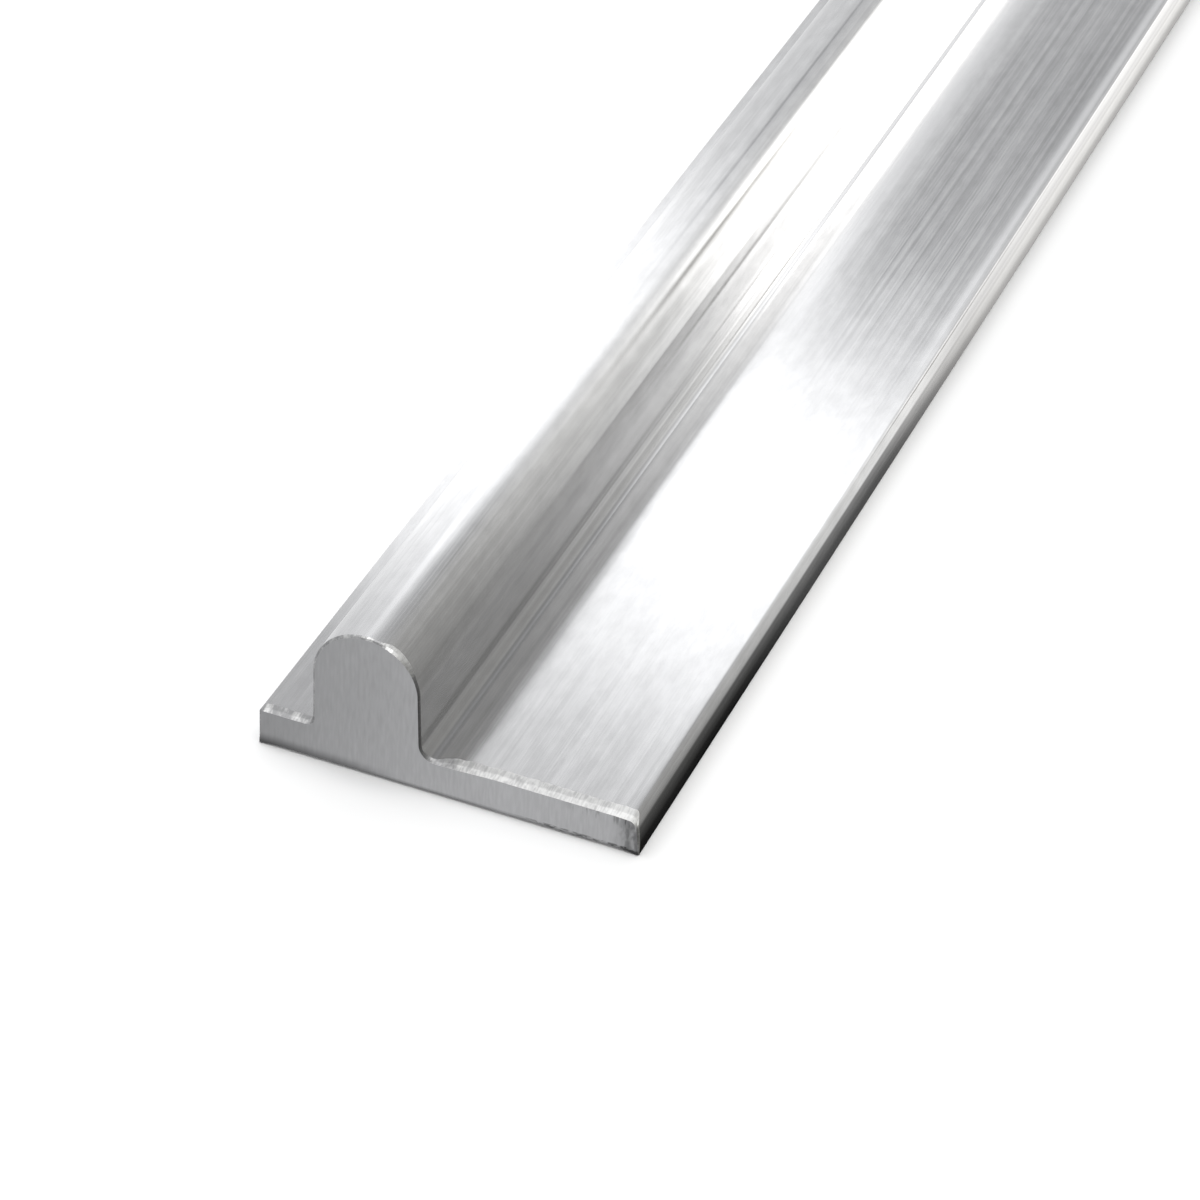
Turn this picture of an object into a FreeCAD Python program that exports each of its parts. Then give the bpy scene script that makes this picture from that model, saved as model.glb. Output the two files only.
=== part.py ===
"""One length of solid aluminium floor track for a sliding door.

The bar is one extrusion: a flat base with a round-topped rail standing on it, off centre, so that a
narrow flange lies on one side of the rail and a wide flange on the other. A door wheel with a round
groove runs along the crown of the rail. Both ends are sawn square and lightly dressed with a file.

Millimetres. The length runs along Y, the section lies in XZ, and Z is up. The origin is the centre of
the underside. The narrow flange is on the -X side and the wide flange on the +X side.
"""

import FreeCAD
import Part
import os

# Length of the bar as sold
TRACK_LENGTH = 1000.0

# Widths across the section, from the narrow edge to the wide edge
NARROW_FLANGE_WIDTH = 4.6
RAIL_WIDTH = 9.0
WIDE_FLANGE_WIDTH = 18.4

# Heights: the base plate, then the straight part of the rail's sides below its round crown
BASE_THICKNESS = 3.4
RAIL_SIDE_HEIGHT = 5.3

# Roots where the rail's sides run into the flanges
NARROW_ROOT_RADIUS = 0.6
WIDE_ROOT_RADIUS = 1.2

# Outer edges of the base
NARROW_EDGE_RADIUS = 0.4
WIDE_EDGE_RADIUS = 0.8
UNDERSIDE_EDGE_RADIUS = 0.4

# File-dressed edge round each sawn end: how far it reaches in from the skin and along the bar
END_DRESSING_DEPTH = 0.2
END_DRESSING_RUN = 0.8

# Values that follow from the driving sizes
base_width = NARROW_FLANGE_WIDTH + RAIL_WIDTH + WIDE_FLANGE_WIDTH
crown_radius = RAIL_WIDTH / 2
track_height = BASE_THICKNESS + RAIL_SIDE_HEIGHT + crown_radius
narrow_edge_x = -base_width / 2
wide_edge_x = base_width / 2
rail_narrow_side_x = narrow_edge_x + NARROW_FLANGE_WIDTH
rail_wide_side_x = rail_narrow_side_x + RAIL_WIDTH
near_end_y = -TRACK_LENGTH / 2
far_end_y = TRACK_LENGTH / 2

SAME_PLACE = 1e-6


def section_corners():
    """Corners of the section as (x, z, radius), counter-clockwise from the underside's narrow edge.

    The two crown corners have half the rail's width as their radius, so their arcs meet on top.
    """
    return [
        (narrow_edge_x, 0.0, UNDERSIDE_EDGE_RADIUS),
        (wide_edge_x, 0.0, UNDERSIDE_EDGE_RADIUS),
        (wide_edge_x, BASE_THICKNESS, WIDE_EDGE_RADIUS),
        (rail_wide_side_x, BASE_THICKNESS, WIDE_ROOT_RADIUS),
        (rail_wide_side_x, track_height, crown_radius),
        (rail_narrow_side_x, track_height, crown_radius),
        (rail_narrow_side_x, BASE_THICKNESS, NARROW_ROOT_RADIUS),
        (narrow_edge_x, BASE_THICKNESS, NARROW_EDGE_RADIUS),
    ]


def corner_arc(before, corner, after, radius):
    """Start, middle and end of the arc that rounds one right-angled corner between its neighbours."""
    towards_before = (before - corner).normalize()
    towards_after = (after - corner).normalize()
    centre = corner + (towards_before + towards_after) * radius
    middle = centre + (corner - centre).normalize() * radius
    return corner + towards_before * radius, middle, corner + towards_after * radius


def rounded_outline(corners, y):
    """Closed wire at the given y, with a tangent arc at each corner and a line between arcs."""
    points = [FreeCAD.Vector(x, y, z) for x, z, radius in corners]
    count = len(corners)
    arcs = [
        corner_arc(points[i - 1], points[i], points[(i + 1) % count], corners[i][2])
        for i in range(count)
    ]
    edges = []
    for i, (start, middle, end) in enumerate(arcs):
        edges.append(Part.Arc(start, middle, end).toShape())
        next_start = arcs[(i + 1) % count][0]
        if end.distanceToPoint(next_start) > SAME_PLACE:
            edges.append(Part.LineSegment(end, next_start).toShape())
    return Part.Wire(edges)


def extruded_bar():
    """The section pushed along the whole length, with square ends."""
    outline = rounded_outline(section_corners(), near_end_y)
    return Part.Face(outline).extrude(FreeCAD.Vector(0, TRACK_LENGTH, 0))


def edges_at(shape, y):
    """The edges that lie wholly in the cross plane at y."""
    return [
        edge for edge in shape.Edges
        if all(abs(vertex.Y - y) < SAME_PLACE for vertex in edge.Vertexes)
    ]


def dressed_track():
    """The bar with the sawn edge of both ends filed to a long shallow bevel."""
    bar = extruded_bar()
    sawn_edges = edges_at(bar, near_end_y) + edges_at(bar, far_end_y)
    return bar.makeChamfer(END_DRESSING_RUN, END_DRESSING_DEPTH, sawn_edges)


def main():
    os.makedirs("parts", exist_ok=True)
    track = dressed_track()
    track.exportStep("parts/door_track.step")
    size = track.BoundBox
    print(
        "door_track",
        "valid" if track.isValid() else "NOT VALID",
        f"{size.XLength:.2f} x {size.YLength:.2f} x {size.ZLength:.2f} mm",
        f"{track.Volume / 1000:.2f} cm3",
    )


main()
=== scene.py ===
"""Looks of one length of solid aluminium floor track for a sliding door, set in a pale studio."""

import math
from collections import namedtuple

import bmesh
import bpy
from bpy.props import FloatProperty, FloatVectorProperty, IntProperty, PointerProperty
from mathutils import Matrix, Vector, noise


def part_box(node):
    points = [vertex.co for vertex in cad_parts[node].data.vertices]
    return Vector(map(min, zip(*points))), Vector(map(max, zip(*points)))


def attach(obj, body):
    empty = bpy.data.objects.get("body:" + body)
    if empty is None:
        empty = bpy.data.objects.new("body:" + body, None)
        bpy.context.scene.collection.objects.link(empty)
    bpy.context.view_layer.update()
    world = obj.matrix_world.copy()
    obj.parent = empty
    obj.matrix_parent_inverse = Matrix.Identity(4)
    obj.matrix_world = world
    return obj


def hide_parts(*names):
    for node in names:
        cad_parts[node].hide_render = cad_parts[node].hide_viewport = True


bl_info = {
    "name": "Sliding door floor track",
    "version": (1, 0, 0),
    "blender": (4, 5, 0),
    "location": "View3D > Sidebar > Floor track",
    "description": "Builds an extruded aluminium floor track with filed ends in a pale studio",
    "category": "Add Mesh",
}

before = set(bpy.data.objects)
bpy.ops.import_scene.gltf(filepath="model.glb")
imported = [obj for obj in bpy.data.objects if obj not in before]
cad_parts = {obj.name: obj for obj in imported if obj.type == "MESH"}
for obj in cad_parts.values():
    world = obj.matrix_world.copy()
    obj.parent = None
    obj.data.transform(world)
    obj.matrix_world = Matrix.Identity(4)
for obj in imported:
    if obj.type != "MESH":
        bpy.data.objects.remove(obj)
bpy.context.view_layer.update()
track_low, track_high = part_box("door_track")

MM = 0.001
# Places nearer to each other than this count as the same
CLOSE = 0.01 * MM
TRACK_NODE = "door_track"

# Material slots of the bar
SKIN, FILED, SAWN = 0, 1, 2

# Depths below the skin of the rings round a dressed end, from the skin inwards, and how far back
# from the sawn face each ring lies, as shares of the file's reach. The underside is only broken
# round, so its shares follow a curve instead of two flats.
RING_DEPTHS = (0.0, 0.07 * MM, 0.18 * MM, 0.38 * MM)
TOP_RING_SHARES = (1.0, 0.46, 0.0, 0.0)
UNDERSIDE_RING_SHARES = (1.0, 0.5, 0.18, 0.0)
# Width of a ring as it is first cut, before its points move to their depths
RING_INSET = 0.01 * MM
# The band between two rings that is sawn and not filed, counted from the skin inwards
SAWN_BAND = 2

# Tilts of the outline from straight up, in degrees, past which the file works as on the underside
# and past which it leaves the metal dull
UNDERSIDE_TILT = 120.0
DULL_TILT = 100.0

# Cross rings of the mesh, measured from either end
RING_STATIONS = [d * MM for d in (1.6, 2.6, 4.5, 8, 14, 24, 40, 65, 100, 160, 250, 370)]


class TrackSizes(bpy.types.PropertyGroup):
    """Section sizes of the bar and of its dressed ends."""

    narrow_flange_width: FloatProperty(
        name="Narrow flange", description="Width of the flange on the rail's narrow side",
        default=4.6 * MM, unit="LENGTH")
    rail_width: FloatProperty(
        name="Rail width", description="Width of the round-topped rail",
        default=9.0 * MM, unit="LENGTH")
    base_thickness: FloatProperty(
        name="Base thickness", description="Height of the flanges above the floor",
        default=3.4 * MM, unit="LENGTH")
    narrow_root_radius: FloatProperty(
        name="Narrow root", description="Fillet between the rail and the narrow flange",
        default=0.6 * MM, unit="LENGTH")
    wide_root_radius: FloatProperty(
        name="Wide root", description="Fillet between the rail and the wide flange",
        default=1.2 * MM, unit="LENGTH")
    narrow_edge_radius: FloatProperty(
        name="Narrow edge", description="Rounding of the narrow flange's top edge",
        default=0.4 * MM, unit="LENGTH")
    wide_edge_radius: FloatProperty(
        name="Wide edge", description="Rounding of the wide flange's top edge",
        default=0.7 * MM, unit="LENGTH")
    underside_edge_radius: FloatProperty(
        name="Underside edges", description="Rounding of the two edges on the floor",
        default=0.1 * MM, unit="LENGTH")
    roll_off_width: FloatProperty(
        name="Roll-off width", description="Strip beside the wide edge where the flange dips",
        default=2.3 * MM, unit="LENGTH")
    roll_off_depth: FloatProperty(
        name="Roll-off depth", description="How far the flange has dipped at its wide edge",
        default=0.13 * MM, unit="LENGTH")
    edge_bulge: FloatProperty(
        name="Edge bulge", description="How far the outer side draws in from its foot to its top",
        default=0.13 * MM, unit="LENGTH")
    side_lean: FloatProperty(
        name="Side lean", description="How far the rail's wide side leans out down to its foot",
        default=0.2 * MM, unit="LENGTH")
    dish_width: FloatProperty(
        name="Dish width", description="Strip beside the rail where the wide flange sinks",
        default=6.0 * MM, unit="LENGTH")
    dish_depth: FloatProperty(
        name="Dish depth", description="How far the flange has sunk beside the rail",
        default=0.20 * MM, unit="LENGTH")
    filed_run: FloatProperty(
        name="Filed run", description="How far the filed band reaches along the bar",
        default=1.25 * MM, unit="LENGTH")
    die_line_depth: FloatProperty(
        name="Die line depth", description="Height of the fine lines that the die leaves",
        default=0.0016 * MM, unit="LENGTH")
    outline_step: FloatProperty(
        name="Outline step", description="Spacing of the mesh's points across the flats",
        default=0.16 * MM, unit="LENGTH")
    crown_steps: IntProperty(
        name="Crown steps", description="Facets round the crown of the rail",
        default=80, min=12)


class TrackColours(bpy.types.PropertyGroup):
    """Colours of the bar's finishes and of the studio."""

    mill: FloatVectorProperty(
        name="Mill finish", description="Reflected colour of the extruded skin",
        default=(0.66, 0.66, 0.665), subtype="COLOR", min=0.0, max=1.0)
    filed: FloatVectorProperty(
        name="Filed band", description="Reflected colour of the fresh filed edge",
        default=(0.76, 0.76, 0.75), subtype="COLOR", min=0.0, max=1.0)
    sawn: FloatVectorProperty(
        name="Sawn end", description="Reflected colour of the sawn end",
        default=(0.65, 0.65, 0.658), subtype="COLOR", min=0.0, max=1.0)
    floor: FloatVectorProperty(
        name="Floor", description="Colour of the studio floor and backdrop",
        default=(0.94, 0.94, 0.94), subtype="COLOR", min=0.0, max=1.0)


# Shape of the bar


def smooth_share(value, start, end):
    """0 before start, 1 past end, with a soft run between them."""
    share = min(max((value - start) / (end - start), 0.0), 1.0)
    return share * share * (3.0 - 2.0 * share)


def section_noise(place, scale, row):
    """Noise over the section, with scale features per millimetre, the same all along the bar."""
    at = place / MM
    return noise.noise(Vector((at.x * scale, row, at.z * scale)))


def rail_places(sizes):
    """Places across the bar: the rail's narrow side, its wide side and the foot of its fillet."""
    narrow_x = track_low.x + sizes.narrow_flange_width
    side_x = narrow_x + sizes.rail_width
    return narrow_x, side_x, side_x + sizes.wide_root_radius


def add_outline(bm, sizes, y):
    """Square-cornered outline of the section at y, its crown spun round the rail's middle."""
    narrow_x, side_x, _ = rail_places(sizes)
    crown_radius = sizes.rail_width / 2
    crown_middle = Vector((narrow_x + crown_radius, y, track_high.z - crown_radius))
    crown_start = bm.verts.new((side_x, y, crown_middle.z))
    crown = bmesh.ops.spin(
        bm, geom=[crown_start], cent=crown_middle, axis=(0, 1, 0), angle=-math.pi,
        steps=sizes.crown_steps)
    crown_end = next(item for item in crown["geom_last"] if isinstance(item, bmesh.types.BMVert))
    corners = {
        "wide_root": (side_x, y, sizes.base_thickness),
        "wide_edge": (track_high.x, y, sizes.base_thickness),
        "wide_underside": (track_high.x, y, track_low.z),
        "narrow_underside": (track_low.x, y, track_low.z),
        "narrow_edge": (track_low.x, y, sizes.base_thickness),
        "narrow_root": (narrow_x, y, sizes.base_thickness),
    }
    verts = {name: bm.verts.new(place) for name, place in corners.items()}
    chain = [crown_start, *verts.values(), crown_end]
    for first, second in zip(chain, chain[1:]):
        bm.edges.new((first, second))
    bmesh.ops.edgeloop_fill(bm, edges=bm.edges[:])
    return verts


def round_corners(bm, verts, sizes):
    """Rounds each corner of the outline to its own radius."""
    radii = {
        "wide_root": sizes.wide_root_radius,
        "wide_edge": sizes.wide_edge_radius,
        "wide_underside": sizes.underside_edge_radius,
        "narrow_underside": sizes.underside_edge_radius,
        "narrow_edge": sizes.narrow_edge_radius,
        "narrow_root": sizes.narrow_root_radius,
    }
    for name, radius in radii.items():
        bmesh.ops.bevel(
            bm, geom=[verts[name]], offset=radius, offset_type="OFFSET", segments=12,
            profile=0.5, affect="VERTICES", material=-1, clamp_overlap=False)


def divide_flats(bm, step):
    """Splits the outline's straight runs, so that die lines and file marks have points to move."""
    for edge in bm.edges[:]:
        cuts = round(edge.calc_length() / step) - 1
        if cuts > 0:
            bmesh.ops.subdivide_edges(bm, edges=[edge], cuts=cuts)


def outline_directions(face):
    """Direction out of the metal at each point of the section's face, square to its outline."""
    directions = {}
    for loop in face.loops:
        before = loop.link_loop_prev.vert.co
        after = loop.link_loop_next.vert.co
        directions[loop.vert] = (after - before).cross(face.normal).normalized()
    return directions


def shape_wide_flange(face, sizes):
    """Leans the rail's wide side out to its foot, rolls the wide flange off before its edge and
    draws the flange's outer side in towards its top."""
    _, side_x, root_x = rail_places(sizes)
    roll_start = track_high.x - sizes.roll_off_width
    crown_foot = track_high.z - sizes.rail_width / 2
    side_foot = sizes.base_thickness * 0.2
    side_top = sizes.base_thickness - sizes.wide_edge_radius
    for vert in face.verts:
        if vert.co.z < side_foot or vert.co.x < side_x - CLOSE:
            continue
        drawn = (vert.co.z - side_foot) / (side_top - side_foot)
        outer = smooth_share(vert.co.x, roll_start - sizes.roll_off_width, track_high.x)
        vert.co.x -= sizes.edge_bulge * drawn * drawn * outer
        height_share = (crown_foot - vert.co.z) / (crown_foot - sizes.base_thickness)
        fade = 1.0 - smooth_share(vert.co.x, root_x, root_x + sizes.dish_width)
        vert.co.x += sizes.side_lean * min(max(height_share, 0.0), 1.0) * fade
        roll = max(0.0, (vert.co.x - roll_start) / sizes.roll_off_width)
        above = smooth_share(vert.co.z, side_foot, sizes.base_thickness * 0.8)
        vert.co.z -= sizes.roll_off_depth * roll * roll * above


def engrave_die_lines(face, sizes):
    """Gives the skin the fine, endless lines of an extrusion: a few deep ones among many faint."""
    for vert, outward in outline_directions(face).items():
        fine = section_noise(vert.co, 2.6, 3.0)
        coarse = section_noise(vert.co, 0.9, 11.0)
        deep = section_noise(vert.co, 1.3, 27.0)
        height = fine + 1.5 * coarse - 1.6 * smooth_share(deep, 0.25, 0.6)
        vert.co += outward * sizes.die_line_depth * height


def extrude_bar(bm, face):
    """Pushes the section along the whole length and cuts cross rings near both ends."""
    pushed = bmesh.ops.extrude_face_region(bm, geom=[face])
    far_verts = [item for item in pushed["geom"] if isinstance(item, bmesh.types.BMVert)]
    length = track_high.y - track_low.y
    bmesh.ops.translate(bm, verts=far_verts, vec=(0, length, 0))
    bmesh.ops.recalc_face_normals(bm, faces=bm.faces[:])
    stations = [track_low.y + d for d in RING_STATIONS] + [track_high.y - d for d in RING_STATIONS]
    for y in stations:
        bmesh.ops.bisect_plane(
            bm, geom=bm.verts[:] + bm.edges[:] + bm.faces[:], dist=CLOSE,
            plane_co=(0, y, 0), plane_no=(0, 1, 0))


def dish_wide_flange(bm, sizes):
    """Sinks the wide flange a little beside the rail, a bit deeper where the ends were sawn."""
    _, side_x, root_x = rail_places(sizes)
    crown_foot = track_high.z - sizes.rail_width / 2
    for vert in bm.verts:
        if vert.co.z < sizes.base_thickness / 2 or vert.co.x < side_x - CLOSE:
            continue
        from_end = track_high.y - abs(vert.co.y)
        depth = sizes.dish_depth * (1.0 - 0.4 * smooth_share(from_end, 15 * MM, 50 * MM))
        across = 1.0 - smooth_share(vert.co.x, root_x, root_x + sizes.dish_width)
        above = 1.0 - smooth_share(vert.co.z, sizes.base_thickness * 1.1, crown_foot)
        vert.co.z -= depth * across * above


def end_face(bm, y):
    """The one face that lies in the cross plane at y."""
    return next(f for f in bm.faces if all(abs(v.co.y - y) < CLOSE for v in f.verts))


def inset_share(place, sizes):
    """Share of a ring's depth to use at a place: less round the two sharp underside corners."""
    aside = min(abs(place.x - track_low.x), abs(place.x - track_high.x))
    from_corner = math.hypot(aside, place.z - track_low.z)
    least = 0.8 * sizes.underside_edge_radius / RING_DEPTHS[-1]
    return least + (1.0 - least) * smooth_share(from_corner, 0.3 * MM, 1.6 * MM)


def inset_rings(bm, face, sizes):
    """Insets the sawn face in steps. Gives its rings from the skin inwards, point by point, and
    the direction out of the metal at each point."""
    for _ in RING_DEPTHS[1:]:
        bmesh.ops.inset_region(bm, faces=[face], thickness=RING_INSET, use_boundary=True)
    face.normal_update()
    outline = outline_directions(face)
    directions = list(outline.values())
    rings = [list(outline)]
    seen = set(outline)
    for _ in RING_DEPTHS[1:]:
        outer = [
            next(e.other_vert(v) for e in v.link_edges if e.other_vert(v) not in seen)
            for v in rings[-1]]
        seen.update(outer)
        rings.append(outer)
    rings.reverse()
    for ring, depth in zip(rings[1:], RING_DEPTHS[1:]):
        for vert, start, outward in zip(ring, rings[0], directions):
            vert.co = start.co - outward * depth * inset_share(start.co, sizes)
    return rings, directions


def file_reach(place, outward, sizes):
    """How far the file reached along the bar at one place of the outline, as a share of the run."""
    tilt = math.degrees(math.atan2(outward.x, outward.z))
    _, side_x, _ = rail_places(sizes)
    if abs(tilt) > UNDERSIDE_TILT:
        return 0.26
    if place.z > sizes.base_thickness + sizes.narrow_root_radius:
        shoulder = smooth_share(tilt, 12.0, 28.0) * (1.0 - smooth_share(tilt, 36.0, 70.0))
        arch = 1.0 - smooth_share(abs(tilt), 40.0, 85.0)
        return 0.12 + 0.08 * arch + 0.3 * shoulder
    side = smooth_share(abs(tilt), 20.0, 70.0)
    if place.x > side_x:
        top = 0.3 + 0.7 * smooth_share(place.x, side_x + 1.0 * MM, side_x + 3.0 * MM)
    else:
        top = 0.7
    return top + (0.12 - top) * side


def file_gloss(place, outward, sizes):
    """How fresh and bright the file left the metal there, from 0 to 1."""
    tilt = math.degrees(math.atan2(outward.x, outward.z))
    _, side_x, _ = rail_places(sizes)
    spot = section_noise(place, 1.2, 4.0)
    if abs(tilt) > DULL_TILT:
        return 0.0
    if place.z > sizes.base_thickness + sizes.narrow_root_radius:
        shoulder = smooth_share(tilt, 18.0, 32.0) * (1.0 - smooth_share(tilt, 52.0, 72.0))
        arch = 1.0 - smooth_share(tilt, 10.0, 40.0)
        return min(max(0.74 * shoulder + arch * (0.24 + 0.35 * spot), 0.0), 1.0)
    if place.x > side_x:
        inner_part = smooth_share(place.x, side_x + 1.4 * MM, side_x + 4.2 * MM)
        outer_part = smooth_share(place.x, track_high.x - 3.5 * MM, track_high.x - 2 * MM)
        return 0.62 * inner_part + 0.3 * outer_part
    return min(max(0.14 + 0.55 * spot, 0.0), 1.0)


def file_end(bm, sizes, y, inward):
    """Pulls the rings of the sawn face back along the bar, as a file does by hand."""
    face = end_face(bm, y)
    rings, directions = inset_rings(bm, face, sizes)
    gloss = bm.verts.layers.float["gloss"]
    for ring, top_share, under_share in zip(rings, TOP_RING_SHARES, UNDERSIDE_RING_SHARES):
        for vert, outward in zip(ring, directions):
            under = smooth_share(-outward.z, 0.1, 0.8)
            share = top_share + (under_share - top_share) * under
            uneven = 1.0 + 0.12 * section_noise(vert.co, 1.7, inward * 5.0)
            vert[gloss] = file_gloss(vert.co, outward, sizes)
            reach = file_reach(vert.co, outward, sizes)
            vert.co.y += inward * sizes.filed_run * reach * share * uneven
    paint_end(face, rings, directions)


def paint_end(face, rings, directions):
    """Gives the rings of a dressed end their material slots and crisp borders."""
    face.material_index = SAWN
    face.smooth = False
    for number, (outer, inner) in enumerate(zip(rings, rings[1:])):
        members = set(outer) | set(inner)
        for vert, outward in zip(inner, directions):
            for ring_face in vert.link_faces:
                if set(ring_face.verts) <= members:
                    under = outward.z < -0.5
                    ring_face.material_index = SAWN if number == SAWN_BAND or under else FILED
                    ring_face.smooth = under
    for ring in rings[:SAWN_BAND + 1]:
        members = set(ring)
        for vert, outward in zip(ring, directions):
            for edge in vert.link_edges:
                if edge.other_vert(vert) in members:
                    edge.smooth = outward.z < -0.5


def track_bmesh(sizes):
    """The whole bar: outline, rounding, die lines, extrusion and dressed ends."""
    bm = bmesh.new()
    verts = add_outline(bm, sizes, track_low.y)
    round_corners(bm, verts, sizes)
    divide_flats(bm, sizes.outline_step)
    section = next(iter(bm.faces))
    bm.verts.layers.float.new("gloss")
    section.normal_update()
    shape_wide_flange(section, sizes)
    engrave_die_lines(section, sizes)
    extrude_bar(bm, section)
    dish_wide_flange(bm, sizes)
    for bar_face in bm.faces:
        bar_face.smooth = True
        bar_face.material_index = SKIN
    file_end(bm, sizes, track_low.y, 1.0)
    file_end(bm, sizes, track_high.y, -1.0)
    return bm


# Materials


class NodeSheet:
    """Short calls for laying out a shader's nodes."""

    def __init__(self, tree):
        self.tree = tree
        self.tree.nodes.clear()

    def add(self, kind, **settings):
        """A new node with its settings."""
        node = self.tree.nodes.new(kind)
        for name, value in settings.items():
            setattr(node, name, value)
        return node

    def feed(self, socket, value):
        """Links a socket, or sets its own value where a plain number or colour is given."""
        if isinstance(value, bpy.types.NodeSocket):
            self.tree.links.new(value, socket)
        else:
            socket.default_value = value

    def math(self, operation, first, second=0.0, clamp=False):
        """One step of arithmetic."""
        node = self.add("ShaderNodeMath", operation=operation, use_clamp=clamp)
        self.feed(node.inputs[0], first)
        self.feed(node.inputs[1], second)
        return node.outputs[0]

    def product(self, first, *others):
        """Values multiplied in turn."""
        for other in others:
            first = self.math("MULTIPLY", first, other)
        return first

    def total(self, first, *others, clamp=False):
        """Values added in turn, the sum held between 0 and 1 if asked."""
        for number, other in enumerate(others, 1):
            first = self.math("ADD", first, other, clamp=clamp and number == len(others))
        return first

    def mixed(self, first, second, share):
        """Two values blended, with the given share of the second."""
        return self.total(self.product(first, 1.0 - share), self.product(second, share))

    def parts(self, vector):
        """The three parts of a vector."""
        node = self.add("ShaderNodeSeparateXYZ")
        self.feed(node.inputs[0], vector)
        return node.outputs

    def spread(self, value, low, high, to_low=0.0, to_high=1.0, soft=True):
        """Maps low..high to to_low..to_high and holds the ends."""
        node = self.add(
            "ShaderNodeMapRange", interpolation_type="SMOOTHSTEP" if soft else "LINEAR",
            clamp=True)
        for name, item in (("Value", value), ("From Min", low), ("From Max", high),
                           ("To Min", to_low), ("To Max", to_high)):
            self.feed(node.inputs[name], item)
        return node.outputs["Result"]

    def window(self, value, start, full, full_end, end):
        """Rises softly from 0 at start to 1 at full, and falls from full_end back to 0 at end."""
        return self.product(
            self.spread(value, start, full), self.spread(value, full_end, end, 1.0, 0.0))

    def noise(self, place, scale, detail=2.0, roughness=0.5):
        """Noise from 0 to 1 with a size of its own along each axis, in features per metre."""
        mapping = self.add("ShaderNodeMapping")
        self.feed(mapping.inputs["Vector"], place)
        mapping.inputs["Scale"].default_value = scale
        node = self.add("ShaderNodeTexNoise")
        self.feed(node.inputs["Vector"], mapping.outputs["Vector"])
        node.inputs["Scale"].default_value = 1.0
        node.inputs["Detail"].default_value = detail
        node.inputs["Roughness"].default_value = roughness
        return node.outputs["Fac"]

    def tint(self, share, low, high):
        """A colour between two, by share."""
        node = self.add("ShaderNodeMix", data_type="RGBA", clamp_factor=True)
        self.feed(node.inputs["Factor"], share)
        self.feed(node.inputs[6], low)
        self.feed(node.inputs[7], high)
        return node.outputs[2]

    def bump(self, height, distance, normal=None):
        """Relief of the given depth in metres."""
        node = self.add("ShaderNodeBump")
        node.inputs["Distance"].default_value = distance
        self.feed(node.inputs["Height"], height)
        if normal is not None:
            self.feed(node.inputs["Normal"], normal)
        return node.outputs["Normal"]


def scaled(colour, share):
    """A colour property made lighter or darker, with its alpha."""
    return tuple(min(channel * share, 1.0) for channel in colour) + (1.0,)


def metal_sheet(name):
    """A metal material, its sheet of nodes, its shader and the place on the bar."""
    material = bpy.data.materials.new(name)
    material.use_nodes = True
    sheet = NodeSheet(material.node_tree)
    shader = sheet.add("ShaderNodeBsdfPrincipled")
    shader.inputs["Metallic"].default_value = 1.0
    output = sheet.add("ShaderNodeOutputMaterial")
    sheet.feed(output.inputs["Surface"], shader.outputs["BSDF"])
    place = sheet.add("ShaderNodeTexCoord").outputs["Object"]
    return material, sheet, shader, place


def place_parts(sheet, place):
    """Place across the bar, height above the floor and distance from the nearer end."""
    x, y, z = sheet.parts(place)
    from_end = sheet.math("SUBTRACT", track_high.y, sheet.math("ABSOLUTE", y))
    return x, z, from_end


def painted_shade_share(sheet, place):
    """How far the skin is darkened: near the ends, painted shade in the crease of the fillet
    between the rail and the wide flange, and a darker narrow flange, and farther in, painted shade
    along the outer side."""
    sizes = bpy.context.scene.track_sizes
    narrow_x, side_x, root_x = rail_places(sizes)
    flange_z = sizes.base_thickness
    top_z = flange_z + sizes.wide_root_radius
    x, z, from_end = place_parts(sheet, place)
    # Painted shade in the fillet's crease, on the flange at its foot and along the line between
    # them, fading out away from the ends
    fillet = sheet.product(
        0.45, sheet.window(x, side_x - 0.2 * MM, side_x + 0.2 * MM, root_x, root_x + 0.5 * MM),
        sheet.spread(z, top_z - 1.1 * MM, top_z - 0.4 * MM, 1.0, 0.0))
    foot = sheet.product(0.22, sheet.window(
        x, root_x - 0.4 * MM, root_x - 0.2 * MM, root_x + 2.0 * MM, root_x + 3.0 * MM))
    line = sheet.product(0.1, sheet.window(
        x, root_x - 0.4 * MM, root_x - 0.25 * MM, root_x, root_x + 0.2 * MM))
    root = sheet.product(
        sheet.total(fillet, foot, line), sheet.spread(from_end, 32 * MM, 76 * MM, 1.0, 0.0))
    # The narrow flange is darker near the ends
    narrow = sheet.product(
        0.4, sheet.spread(x, narrow_x - 0.3 * MM, narrow_x, 1.0, 0.0),
        sheet.spread(from_end, 8 * MM, 24 * MM, 1.0, 0.0))
    # Painted shade on the upper outer side away from the ends, dimming its reflected light
    side = sheet.total(
        sheet.spread(z, flange_z * 0.62, flange_z * 0.78, 0.5, 1.0),
        sheet.spread(z, flange_z * 0.84, flange_z * 0.94, 0.0, -0.2))
    side = sheet.product(
        side, sheet.spread(from_end, 50 * MM, 80 * MM),
        sheet.spread(x, track_high.x - 0.85 * MM, track_high.x - 0.55 * MM))
    return sheet.total(root, narrow, side, clamp=True)


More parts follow.
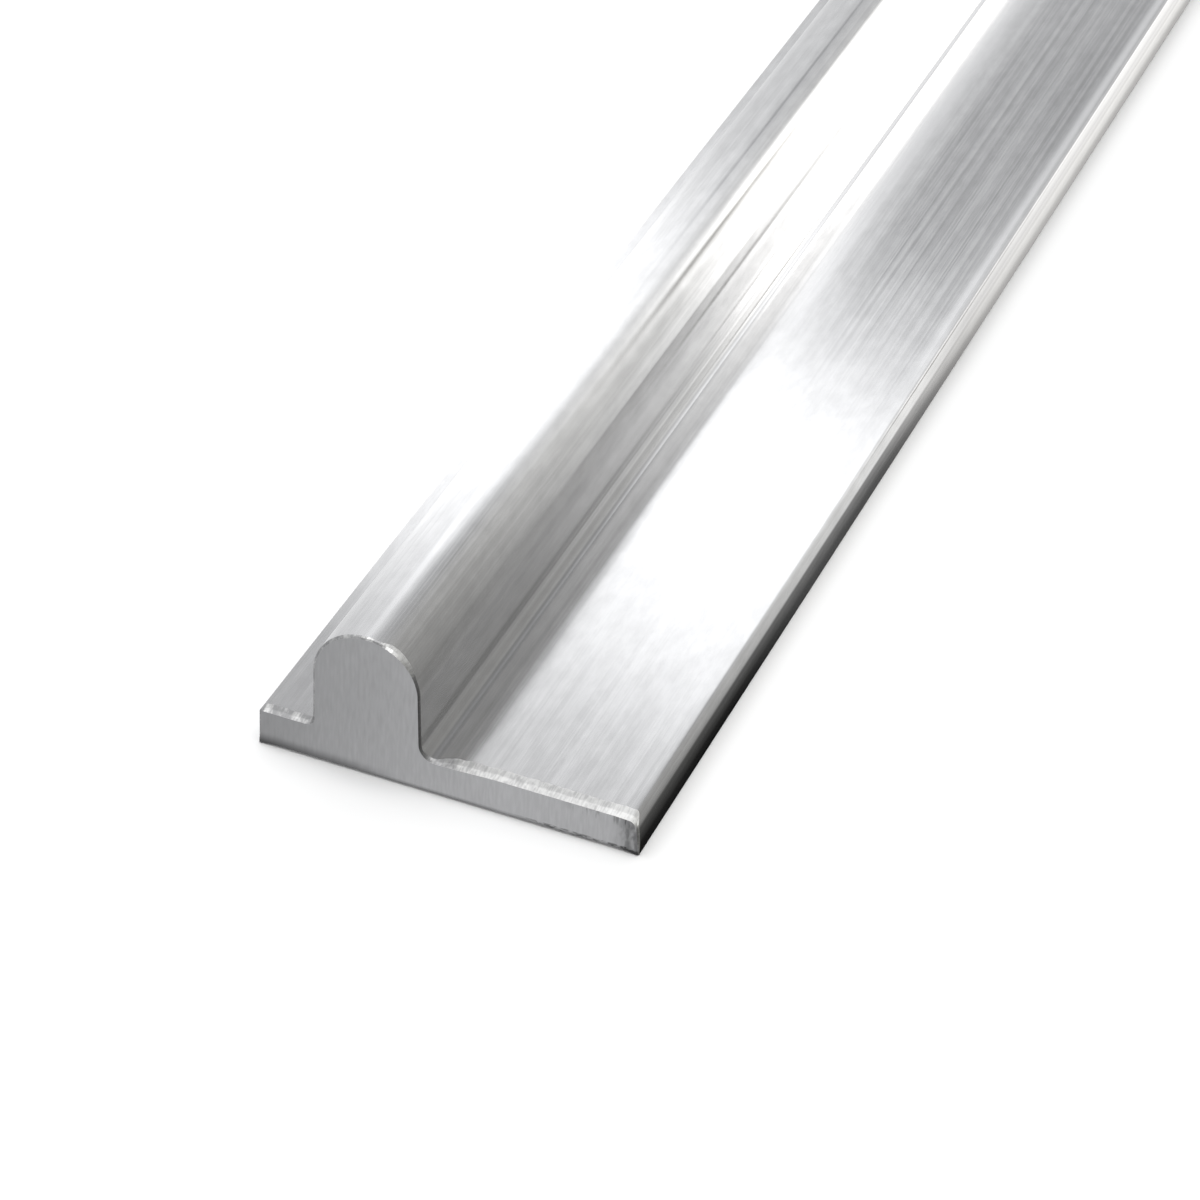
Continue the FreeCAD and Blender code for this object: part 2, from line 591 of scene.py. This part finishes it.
def painted_light_share(sheet, place):
    """How far painted light brightens the skin: on the foot of the rail's wide side, and away from
    the ends also higher up that side, at the foot of its fillet, on the flange beside it and along
    the flange's outer edge."""
    sizes = bpy.context.scene.track_sizes
    _, side_x, root_x = rail_places(sizes)
    flange_z = sizes.base_thickness
    edge_x = track_high.x
    x, z, from_end = place_parts(sheet, place)
    low_wall = sheet.spread(z, flange_z + 1.7 * MM, flange_z + 2.8 * MM, 0.6, 0.0)
    high_wall = sheet.product(
        0.45, sheet.spread(from_end, 18 * MM, 34 * MM), sheet.window(
            z, flange_z + 0.4 * MM, flange_z + 0.9 * MM, flange_z + 3.4 * MM, flange_z + 4.8 * MM))
    wall = sheet.product(sheet.total(low_wall, high_wall), sheet.window(
        x, side_x - 0.4 * MM, side_x - 0.2 * MM, side_x + 0.25 * MM, side_x + 0.5 * MM))
    foot = sheet.window(
        x, root_x - 0.5 * MM, root_x - 0.35 * MM, root_x + 0.3 * MM, root_x + 0.6 * MM)
    strip = sheet.product(0.75, sheet.window(
        x, root_x + 1.4 * MM, root_x + 2.0 * MM, root_x + 2.0 * MM, root_x + 5.0 * MM))
    edge = sheet.product(0.55, sheet.window(
        x, edge_x - 2.1 * MM, edge_x - 1.4 * MM, edge_x - 1.3 * MM, edge_x - 0.9 * MM))
    beside = sheet.product(
        sheet.total(foot, strip, edge), sheet.spread(from_end, 60 * MM, 82 * MM))
    return sheet.total(wall, beside, clamp=True)


def crown_highlight_share(sheet, place):
    """1 along a thin painted highlight on top of the rail near the ends, 0 elsewhere."""
    sizes = bpy.context.scene.track_sizes
    narrow_x, _, _ = rail_places(sizes)
    x, z, from_end = place_parts(sheet, place)
    aside = sheet.math(
        "ABSOLUTE", sheet.math("SUBTRACT", x, narrow_x + sizes.rail_width / 2))
    return sheet.product(
        sheet.spread(aside, 0.08 * MM, 0.45 * MM, 1.0, 0.0),
        sheet.spread(z, 0.8 * track_high.z, 0.9 * track_high.z),
        sheet.spread(from_end, 12 * MM, 40 * MM, 1.0, 0.0))


def mill_skin(colours):
    """Extruded skin: a soft mirror drawn out into fine lines along the bar, its colour carrying
    painted light, a painted highlight and painted shade.
    """
    material, sheet, shader, place = metal_sheet("mill_skin")
    hairs = sheet.noise(place, (7000.0, 22.0, 7000.0), detail=3.0)
    streaks = sheet.noise(place, (1500.0, 7.0, 1500.0), detail=3.0)
    cloud = sheet.noise(place, (90.0, 22.0, 90.0), detail=3.0)
    mottle = sheet.noise(place, (900.0, 330.0, 900.0), detail=4.0, roughness=0.6)
    waves = sheet.noise(place, (210.0, 110.0, 210.0), detail=1.0)
    lines = sheet.mixed(hairs, streaks, 0.5)
    shade = sheet.mixed(
        sheet.spread(lines, 0.34, 0.66), sheet.spread(mottle, 0.3, 0.7), 0.55)
    metal = sheet.tint(shade, scaled(colours.mill, 0.9), scaled(colours.mill, 1.07))
    # Painted light, lightening the skin on the rail's wide side, at the fillet's foot and on strips
    # of the flange
    metal = sheet.tint(painted_light_share(sheet, place), metal, scaled(colours.mill, 1.5))
    # A painted highlight along the top of the rail near the ends
    metal = sheet.tint(crown_highlight_share(sheet, place), metal, scaled(colours.mill, 1.2))
    # Painted shade: towards dark grey in the fillet's crease and along the upper outer side, with a
    # darker narrow flange near the ends
    painted_shade = painted_shade_share(sheet, place)
    sheet.feed(shader.inputs["Base Color"], sheet.tint(painted_shade, metal, scaled(colours.mill, 0.36)))
    worn = sheet.mixed(lines, cloud, 0.4)
    sheet.feed(shader.inputs["Roughness"], sheet.spread(worn, 0.36, 0.66, 0.09, 0.17))
    relief = sheet.bump(waves, 0.012 * MM)
    relief = sheet.bump(hairs, 0.0006 * MM, relief)
    relief = sheet.bump(streaks, 0.0024 * MM, relief)
    sheet.feed(shader.inputs["Normal"], relief)
    shader.inputs["Anisotropic"].default_value = 0.6
    shader.inputs["Anisotropic Rotation"].default_value = 0.25
    along = sheet.add("ShaderNodeCombineXYZ")
    along.inputs["Y"].default_value = 1.0
    sheet.feed(shader.inputs["Tangent"], along.outputs["Vector"])
    return material


def filed_band(colours):
    """Filed edge: short strokes across it, bright where the file bit fresh metal."""
    material, sheet, shader, place = metal_sheet("filed_band")
    gloss = sheet.add("ShaderNodeAttribute", attribute_name="gloss").outputs["Fac"]
    strokes = sheet.noise(place, (5200.0, 500.0, 5200.0), detail=3.0)
    patches = sheet.noise(place, (1500.0, 1500.0, 1500.0), detail=3.0)
    broken = sheet.total(
        sheet.spread(strokes, 0.36, 0.6, -0.2, 0.1), sheet.spread(patches, 0.35, 0.65, -0.14, 0.08))
    fresh = sheet.total(gloss, broken, clamp=True)
    sheet.feed(shader.inputs["Base Color"],
               sheet.tint(fresh, scaled(colours.sawn, 0.42), scaled(colours.filed, 1.0)))
    sheet.feed(shader.inputs["Roughness"], sheet.spread(fresh, 0.2, 0.9, 0.5, 0.33))
    sheet.feed(shader.inputs["Normal"], sheet.bump(strokes, 0.004 * MM))
    return material


def sawn_end(colours):
    """Sawn face: matt grey with fine upright tooth marks, nicked near its foot, with painted shade
    along its foot and towards its narrow side, file ticks and a darker mottled band by its wide
    edge.
    """
    material, sheet, shader, place = metal_sheet("sawn_end")
    x, _, z = sheet.parts(place)
    teeth = sheet.noise(place, (4200.0, 300.0, 620.0), detail=3.0)
    drift = sheet.noise(place, (240.0, 240.0, 200.0), detail=2.0)
    shade = sheet.spread(sheet.mixed(teeth, drift, 0.5), 0.36, 0.64)
    metal = sheet.tint(shade, scaled(colours.sawn, 0.93), scaled(colours.sawn, 1.06))
    # Painted shade, darker towards the narrow side of the sawn face
    narrow_side_shade = sheet.spread(x, track_low.x, 5 * MM, 0.38, 0.0, soft=False)
    # Painted shade along the foot of the sawn face, low across it and reaching higher towards the
    # narrow side
    foot = sheet.product(sheet.spread(z, 0.1 * MM, 0.6 * MM, 1.0, 0.0),
                         sheet.spread(x, -9 * MM, -3 * MM, 0.1, 0.6))
    left_foot_shade = sheet.product(sheet.spread(z, 0.2 * MM, 1.3 * MM, 1.0, 0.0),
                          sheet.spread(x, -9 * MM, -3 * MM, 0.45, 0.0))
    nick_noise = sheet.noise(place, (1900.0, 1.0, 6500.0), detail=2.0)
    nicks = sheet.product(
        0.5, sheet.spread(nick_noise, 0.5, 0.6), sheet.spread(x, 5 * MM, 9 * MM),
        sheet.spread(z, 0.45 * MM, 0.6 * MM, 1.0, 0.0))
    # A mottled darker band near the wide edge of the sawn face
    wide_edge_noise = sheet.noise(place, (2600.0, 1.0, 1100.0), detail=3.0)
    wide_edge_darkening = sheet.product(sheet.spread(wide_edge_noise, 0.35, 0.65, 0.3, 0.7),
                           sheet.spread(x, 13.4 * MM, 15.4 * MM))
    tick_noise = sheet.noise(place, (4200.0, 1.0, 500.0), detail=2.0)
    ticks = sheet.product(
        sheet.spread(tick_noise, 0.5, 0.62), sheet.spread(x, 9 * MM, 12 * MM),
        sheet.spread(z, 2.3 * MM, 2.9 * MM, 0.0, 0.35))
    # Nicks and file ticks together with painted shade at the foot and narrow side and the darker
    # band by the wide edge, all towards dark grey
    marks_and_shade = sheet.total(foot, left_foot_shade, narrow_side_shade, nicks, ticks, wide_edge_darkening, clamp=True)
    sheet.feed(shader.inputs["Base Color"],
               sheet.tint(marks_and_shade, metal, scaled(colours.sawn, 0.12)))
    sheet.feed(shader.inputs["Roughness"], sheet.spread(drift, 0.35, 0.65, 0.48, 0.56))
    sheet.feed(shader.inputs["Normal"], sheet.bump(teeth, 0.002 * MM))
    return material


# Studio

# A soft light as seen from the bar. along is the angle from the bar's far direction and round is
# the angle round the bar from straight up, towards the wide flange, both in degrees. Each has the
# four places where the light starts, is full, stops being full and ends. A negative strength is a
# card or a shade, which takes light away.
SoftLight = namedtuple("SoftLight", "name strength colour along round")

COOL_WHITE = (0.985, 0.992, 1.0)
WARM_WHITE = (1.0, 0.985, 0.96)
NEUTRAL = (1.0, 1.0, 1.0)
ROOM_LEFT_COLOUR = (0.985, 0.99, 1.0, 1.0)
ROOM_RIGHT_COLOUR = (1.0, 0.995, 0.965, 1.0)

SOFT_LIGHTS = (
    SoftLight("far tent", 1.00, COOL_WHITE, (35.5, 39.2, 39.9, 44.1), (-150, -118, -21.5, 22)),
    SoftLight("right panel", 0.66, NEUTRAL, (16, 26, 37.0, 43.4), (4, 36, 110, 158)),
    SoftLight("right window", 1.55, WARM_WHITE, (24, 31, 35.2, 38.2), (12, 28, 130, 180)),
    SoftLight("window bar", -1.50, NEUTRAL, (34, 35, 36.8, 38.6), (29, 36, 39, 48)),
    SoftLight("window curtain", -0.28, NEUTRAL, (36.2, 37.0, 38.0, 41.0), (44, 58, 70, 98)),
    SoftLight("dark card", -0.30, NEUTRAL, (20, 30, 35.5, 38.4), (-26.5, -24, -22, -18.5)),
    SoftLight("far strip", 0.36, NEUTRAL, (35.0, 37.8, 40.0, 42.3), (-22, -6, 16, 36)),
    SoftLight("far fill", 0.18, NEUTRAL, (24, 30, 35.4, 37.4), (-14, -5, 8, 15)),
    SoftLight("tent shade", -0.24, NEUTRAL, (40.2, 41.0, 42.2, 43.6), (-14, -6, 8, 22)),
    SoftLight("floor glow", 0.07, NEUTRAL, (35, 38, 39.3, 41.6), (138, 150, 170, 180)),
    SoftLight("near wash", 0.22, NEUTRAL, (47, 55, 72, 84), (-110, -60, 40, 80)),
    SoftLight("overhead", 3.20, NEUTRAL, (72, 84, 96, 108), (-38, -24, 24, 38)),
)
# Level of the room between the lights, at places round the bar in degrees from straight up
ROOM_LEVELS = (
    (-26, 0.72), (-8, 0.53), (16, 0.42), (36, 0.36), (66, 0.33), (110, 0.24), (146, 0.06),
    (150, 0.04), (155, 0.003))
ROOM_UNDER = 0.003
# Turns round the bar over which the room darkens at its left foot, and over which its colour
# changes from that of its left side to that of its right
ROOM_LEFT_FOOT = (-179.0, -168.0)
ROOM_TONE_TURN = (-10.0, 40.0)
# Light of the whole studio against these levels
STUDIO_LEVEL = 1.155

CAMERA_PLACE = Vector((102.888, -739.226, 215.145)) * MM
CAMERA_AZIMUTH, CAMERA_ELEVATION, CAMERA_ROLL = 20.845, 36.895, 2.948
CAMERA_LENS, CAMERA_SENSOR = 131.535, 36.0

FLOOR_RADIUS = 12.0
BACKDROP_HEIGHT = 8.0
BACKDROP_BEND = 5.0


def light_world():
    """Soft lights round the bar, as one smooth surrounding that only the bar and floor see."""
    world = bpy.data.worlds.new("soft_studio")
    bpy.context.scene.world = world
    world.use_nodes = True
    sheet = NodeSheet(world.node_tree)
    direction = sheet.add("ShaderNodeTexCoord").outputs["Generated"]
    x, y, z = sheet.parts(direction)
    along = sheet.math("DEGREES", sheet.math("ARCCOSINE", y))
    turned = sheet.math("DEGREES", sheet.math("ARCTAN2", x, z))
    room = ROOM_LEVELS[0][1]
    for (start, before), (end, after) in zip(ROOM_LEVELS, ROOM_LEVELS[1:]):
        step = sheet.spread(turned, start, end, 0.0, after - before, soft=False)
        room = sheet.total(room, step)
    under_left = sheet.spread(turned, *ROOM_LEFT_FOOT, ROOM_UNDER - ROOM_LEVELS[0][1], 0.0)
    room = sheet.total(room, under_left)
    tone = sheet.tint(
        sheet.spread(turned, *ROOM_TONE_TURN), ROOM_LEFT_COLOUR, ROOM_RIGHT_COLOUR)
    scale = sheet.add("ShaderNodeVectorMath", operation="SCALE")
    sheet.feed(scale.inputs[0], tone)
    sheet.feed(scale.inputs["Scale"], room)
    total = scale.outputs[0]
    for light in SOFT_LIGHTS:
        share = sheet.product(
            light.strength, sheet.window(along, *light.along),
            sheet.window(turned, *light.round))
        glow = sheet.add("ShaderNodeVectorMath", operation="SCALE", label=light.name)
        glow.inputs[0].default_value = light.colour
        sheet.feed(glow.inputs["Scale"], share)
        added = sheet.add("ShaderNodeVectorMath", operation="ADD")
        sheet.feed(added.inputs[0], total)
        sheet.feed(added.inputs[1], glow.outputs[0])
        total = added.outputs[0]
    background = sheet.add("ShaderNodeBackground")
    sheet.feed(background.inputs["Color"], total)
    background.inputs["Strength"].default_value = STUDIO_LEVEL
    output = sheet.add("ShaderNodeOutputWorld")
    sheet.feed(output.inputs["Surface"], background.outputs[0])


def add_floor(colours):
    """Round floor that bends up into a backdrop. Only the camera sees it, so it hides no light."""
    bm = bmesh.new()
    middle = bm.verts.new((0, 0, 0))
    foot = bm.verts.new((FLOOR_RADIUS, 0, 0))
    top = bm.verts.new((FLOOR_RADIUS, 0, BACKDROP_HEIGHT))
    edges = [bm.edges.new((middle, foot)), bm.edges.new((foot, top))]
    bmesh.ops.bevel(
        bm, geom=[foot], offset=BACKDROP_BEND, offset_type="OFFSET", segments=24, profile=0.5,
        affect="VERTICES", material=-1, clamp_overlap=False)
    bmesh.ops.spin(
        bm, geom=bm.verts[:] + bm.edges[:], cent=(0, 0, 0), axis=(0, 0, 1),
        angle=math.tau, steps=96, use_merge=True)
    bmesh.ops.remove_doubles(bm, verts=bm.verts[:], dist=MM)
    for floor_face in bm.faces:
        floor_face.smooth = True
    bmesh.ops.recalc_face_normals(bm, faces=bm.faces[:])
    if sum((f.normal.z for f in bm.faces), 0.0) < 0.0:
        bmesh.ops.reverse_faces(bm, faces=bm.faces[:])
    mesh = bpy.data.meshes.new("studio_floor")
    bm.to_mesh(mesh)
    bm.free()
    floor = bpy.data.objects.new("studio_floor", mesh)
    bpy.context.scene.collection.objects.link(floor)
    floor.visible_glossy = False
    floor.visible_diffuse = False
    floor.visible_shadow = False
    material = bpy.data.materials.new("studio_paper")
    material.use_nodes = True
    shader = material.node_tree.nodes["Principled BSDF"]
    shader.inputs["Base Color"].default_value = scaled(colours.floor, 1.0)
    shader.inputs["Roughness"].default_value = 1.0
    shader.inputs["Specular IOR Level"].default_value = 0.0
    mesh.materials.append(material)


def add_camera():
    """Camera at the photograph's place, turned by its azimuth, elevation and roll."""
    azimuth, elevation, roll = (
        math.radians(a) for a in (CAMERA_AZIMUTH, CAMERA_ELEVATION, CAMERA_ROLL))
    back = Vector((
        math.sin(azimuth) * math.cos(elevation),
        -math.cos(azimuth) * math.cos(elevation),
        math.sin(elevation)))
    level = Vector((math.cos(azimuth), math.sin(azimuth), 0.0))
    upright = back.cross(level)
    right = level * math.cos(roll) + upright * math.sin(roll)
    up = back.cross(right)
    data = bpy.data.cameras.new("camera")
    data.lens = CAMERA_LENS
    data.sensor_width = CAMERA_SENSOR
    data.clip_start = 0.01
    data.clip_end = 100.0
    camera = bpy.data.objects.new("camera", data)
    turn = Matrix((right, up, back)).transposed().to_4x4()
    camera.matrix_world = Matrix.Translation(CAMERA_PLACE) @ turn
    bpy.context.scene.collection.objects.link(camera)
    bpy.context.scene.camera = camera


class TRACK_OT_bar(bpy.types.Operator):
    """Build the bar of floor track in place of the plain solid"""

    bl_idname = "track.bar"
    bl_label = "Floor track bar"

    def execute(self, context):
        scene = context.scene
        bm = track_bmesh(scene.track_sizes)
        if any(not edge.is_manifold for edge in bm.edges):
            raise RuntimeError("the bar's mesh isn't closed")
        mesh = bpy.data.meshes.new("floor_track_bar")
        bm.to_mesh(mesh)
        bm.free()
        for finish in (mill_skin, filed_band, sawn_end):
            mesh.materials.append(finish(scene.track_colours))
        bar = bpy.data.objects.new("floor_track_bar", mesh)
        scene.collection.objects.link(bar)
        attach(bar, "root")
        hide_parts(TRACK_NODE)
        return {"FINISHED"}


class TRACK_OT_stage(bpy.types.Operator):
    """Build the pale floor, the soft studio light and the camera"""

    bl_idname = "track.stage"
    bl_label = "Pale studio"

    def execute(self, context):
        context.scene.view_settings.view_transform = "Standard"
        light_world()
        add_floor(context.scene.track_colours)
        add_camera()
        return {"FINISHED"}


class TRACK_PT_panel(bpy.types.Panel):
    """Sizes, colours and build buttons of the floor track"""

    bl_label = "Floor track"
    bl_idname = "TRACK_PT_panel"
    bl_space_type = "VIEW_3D"
    bl_region_type = "UI"
    bl_category = "Floor track"

    def draw(self, context):
        for group in (context.scene.track_sizes, context.scene.track_colours):
            box = self.layout.box()
            for name in group.__annotations__:
                box.prop(group, name)
        for operator in (TRACK_OT_bar, TRACK_OT_stage):
            self.layout.operator(operator.bl_idname)


CLASSES = (TrackSizes, TrackColours, TRACK_OT_bar, TRACK_OT_stage, TRACK_PT_panel)


def register():
    """Adds the classes and the scene's two groups of properties."""
    for item in CLASSES:
        bpy.utils.register_class(item)
    bpy.types.Scene.track_sizes = PointerProperty(type=TrackSizes)
    bpy.types.Scene.track_colours = PointerProperty(type=TrackColours)


def unregister():
    """Takes them away again."""
    del bpy.types.Scene.track_colours
    del bpy.types.Scene.track_sizes
    for item in reversed(CLASSES):
        bpy.utils.unregister_class(item)


def main():
    """Builds the bar and the stage."""
    register()
    bpy.ops.track.bar()
    bpy.ops.track.stage()


if __name__ == "__main__":
    main()
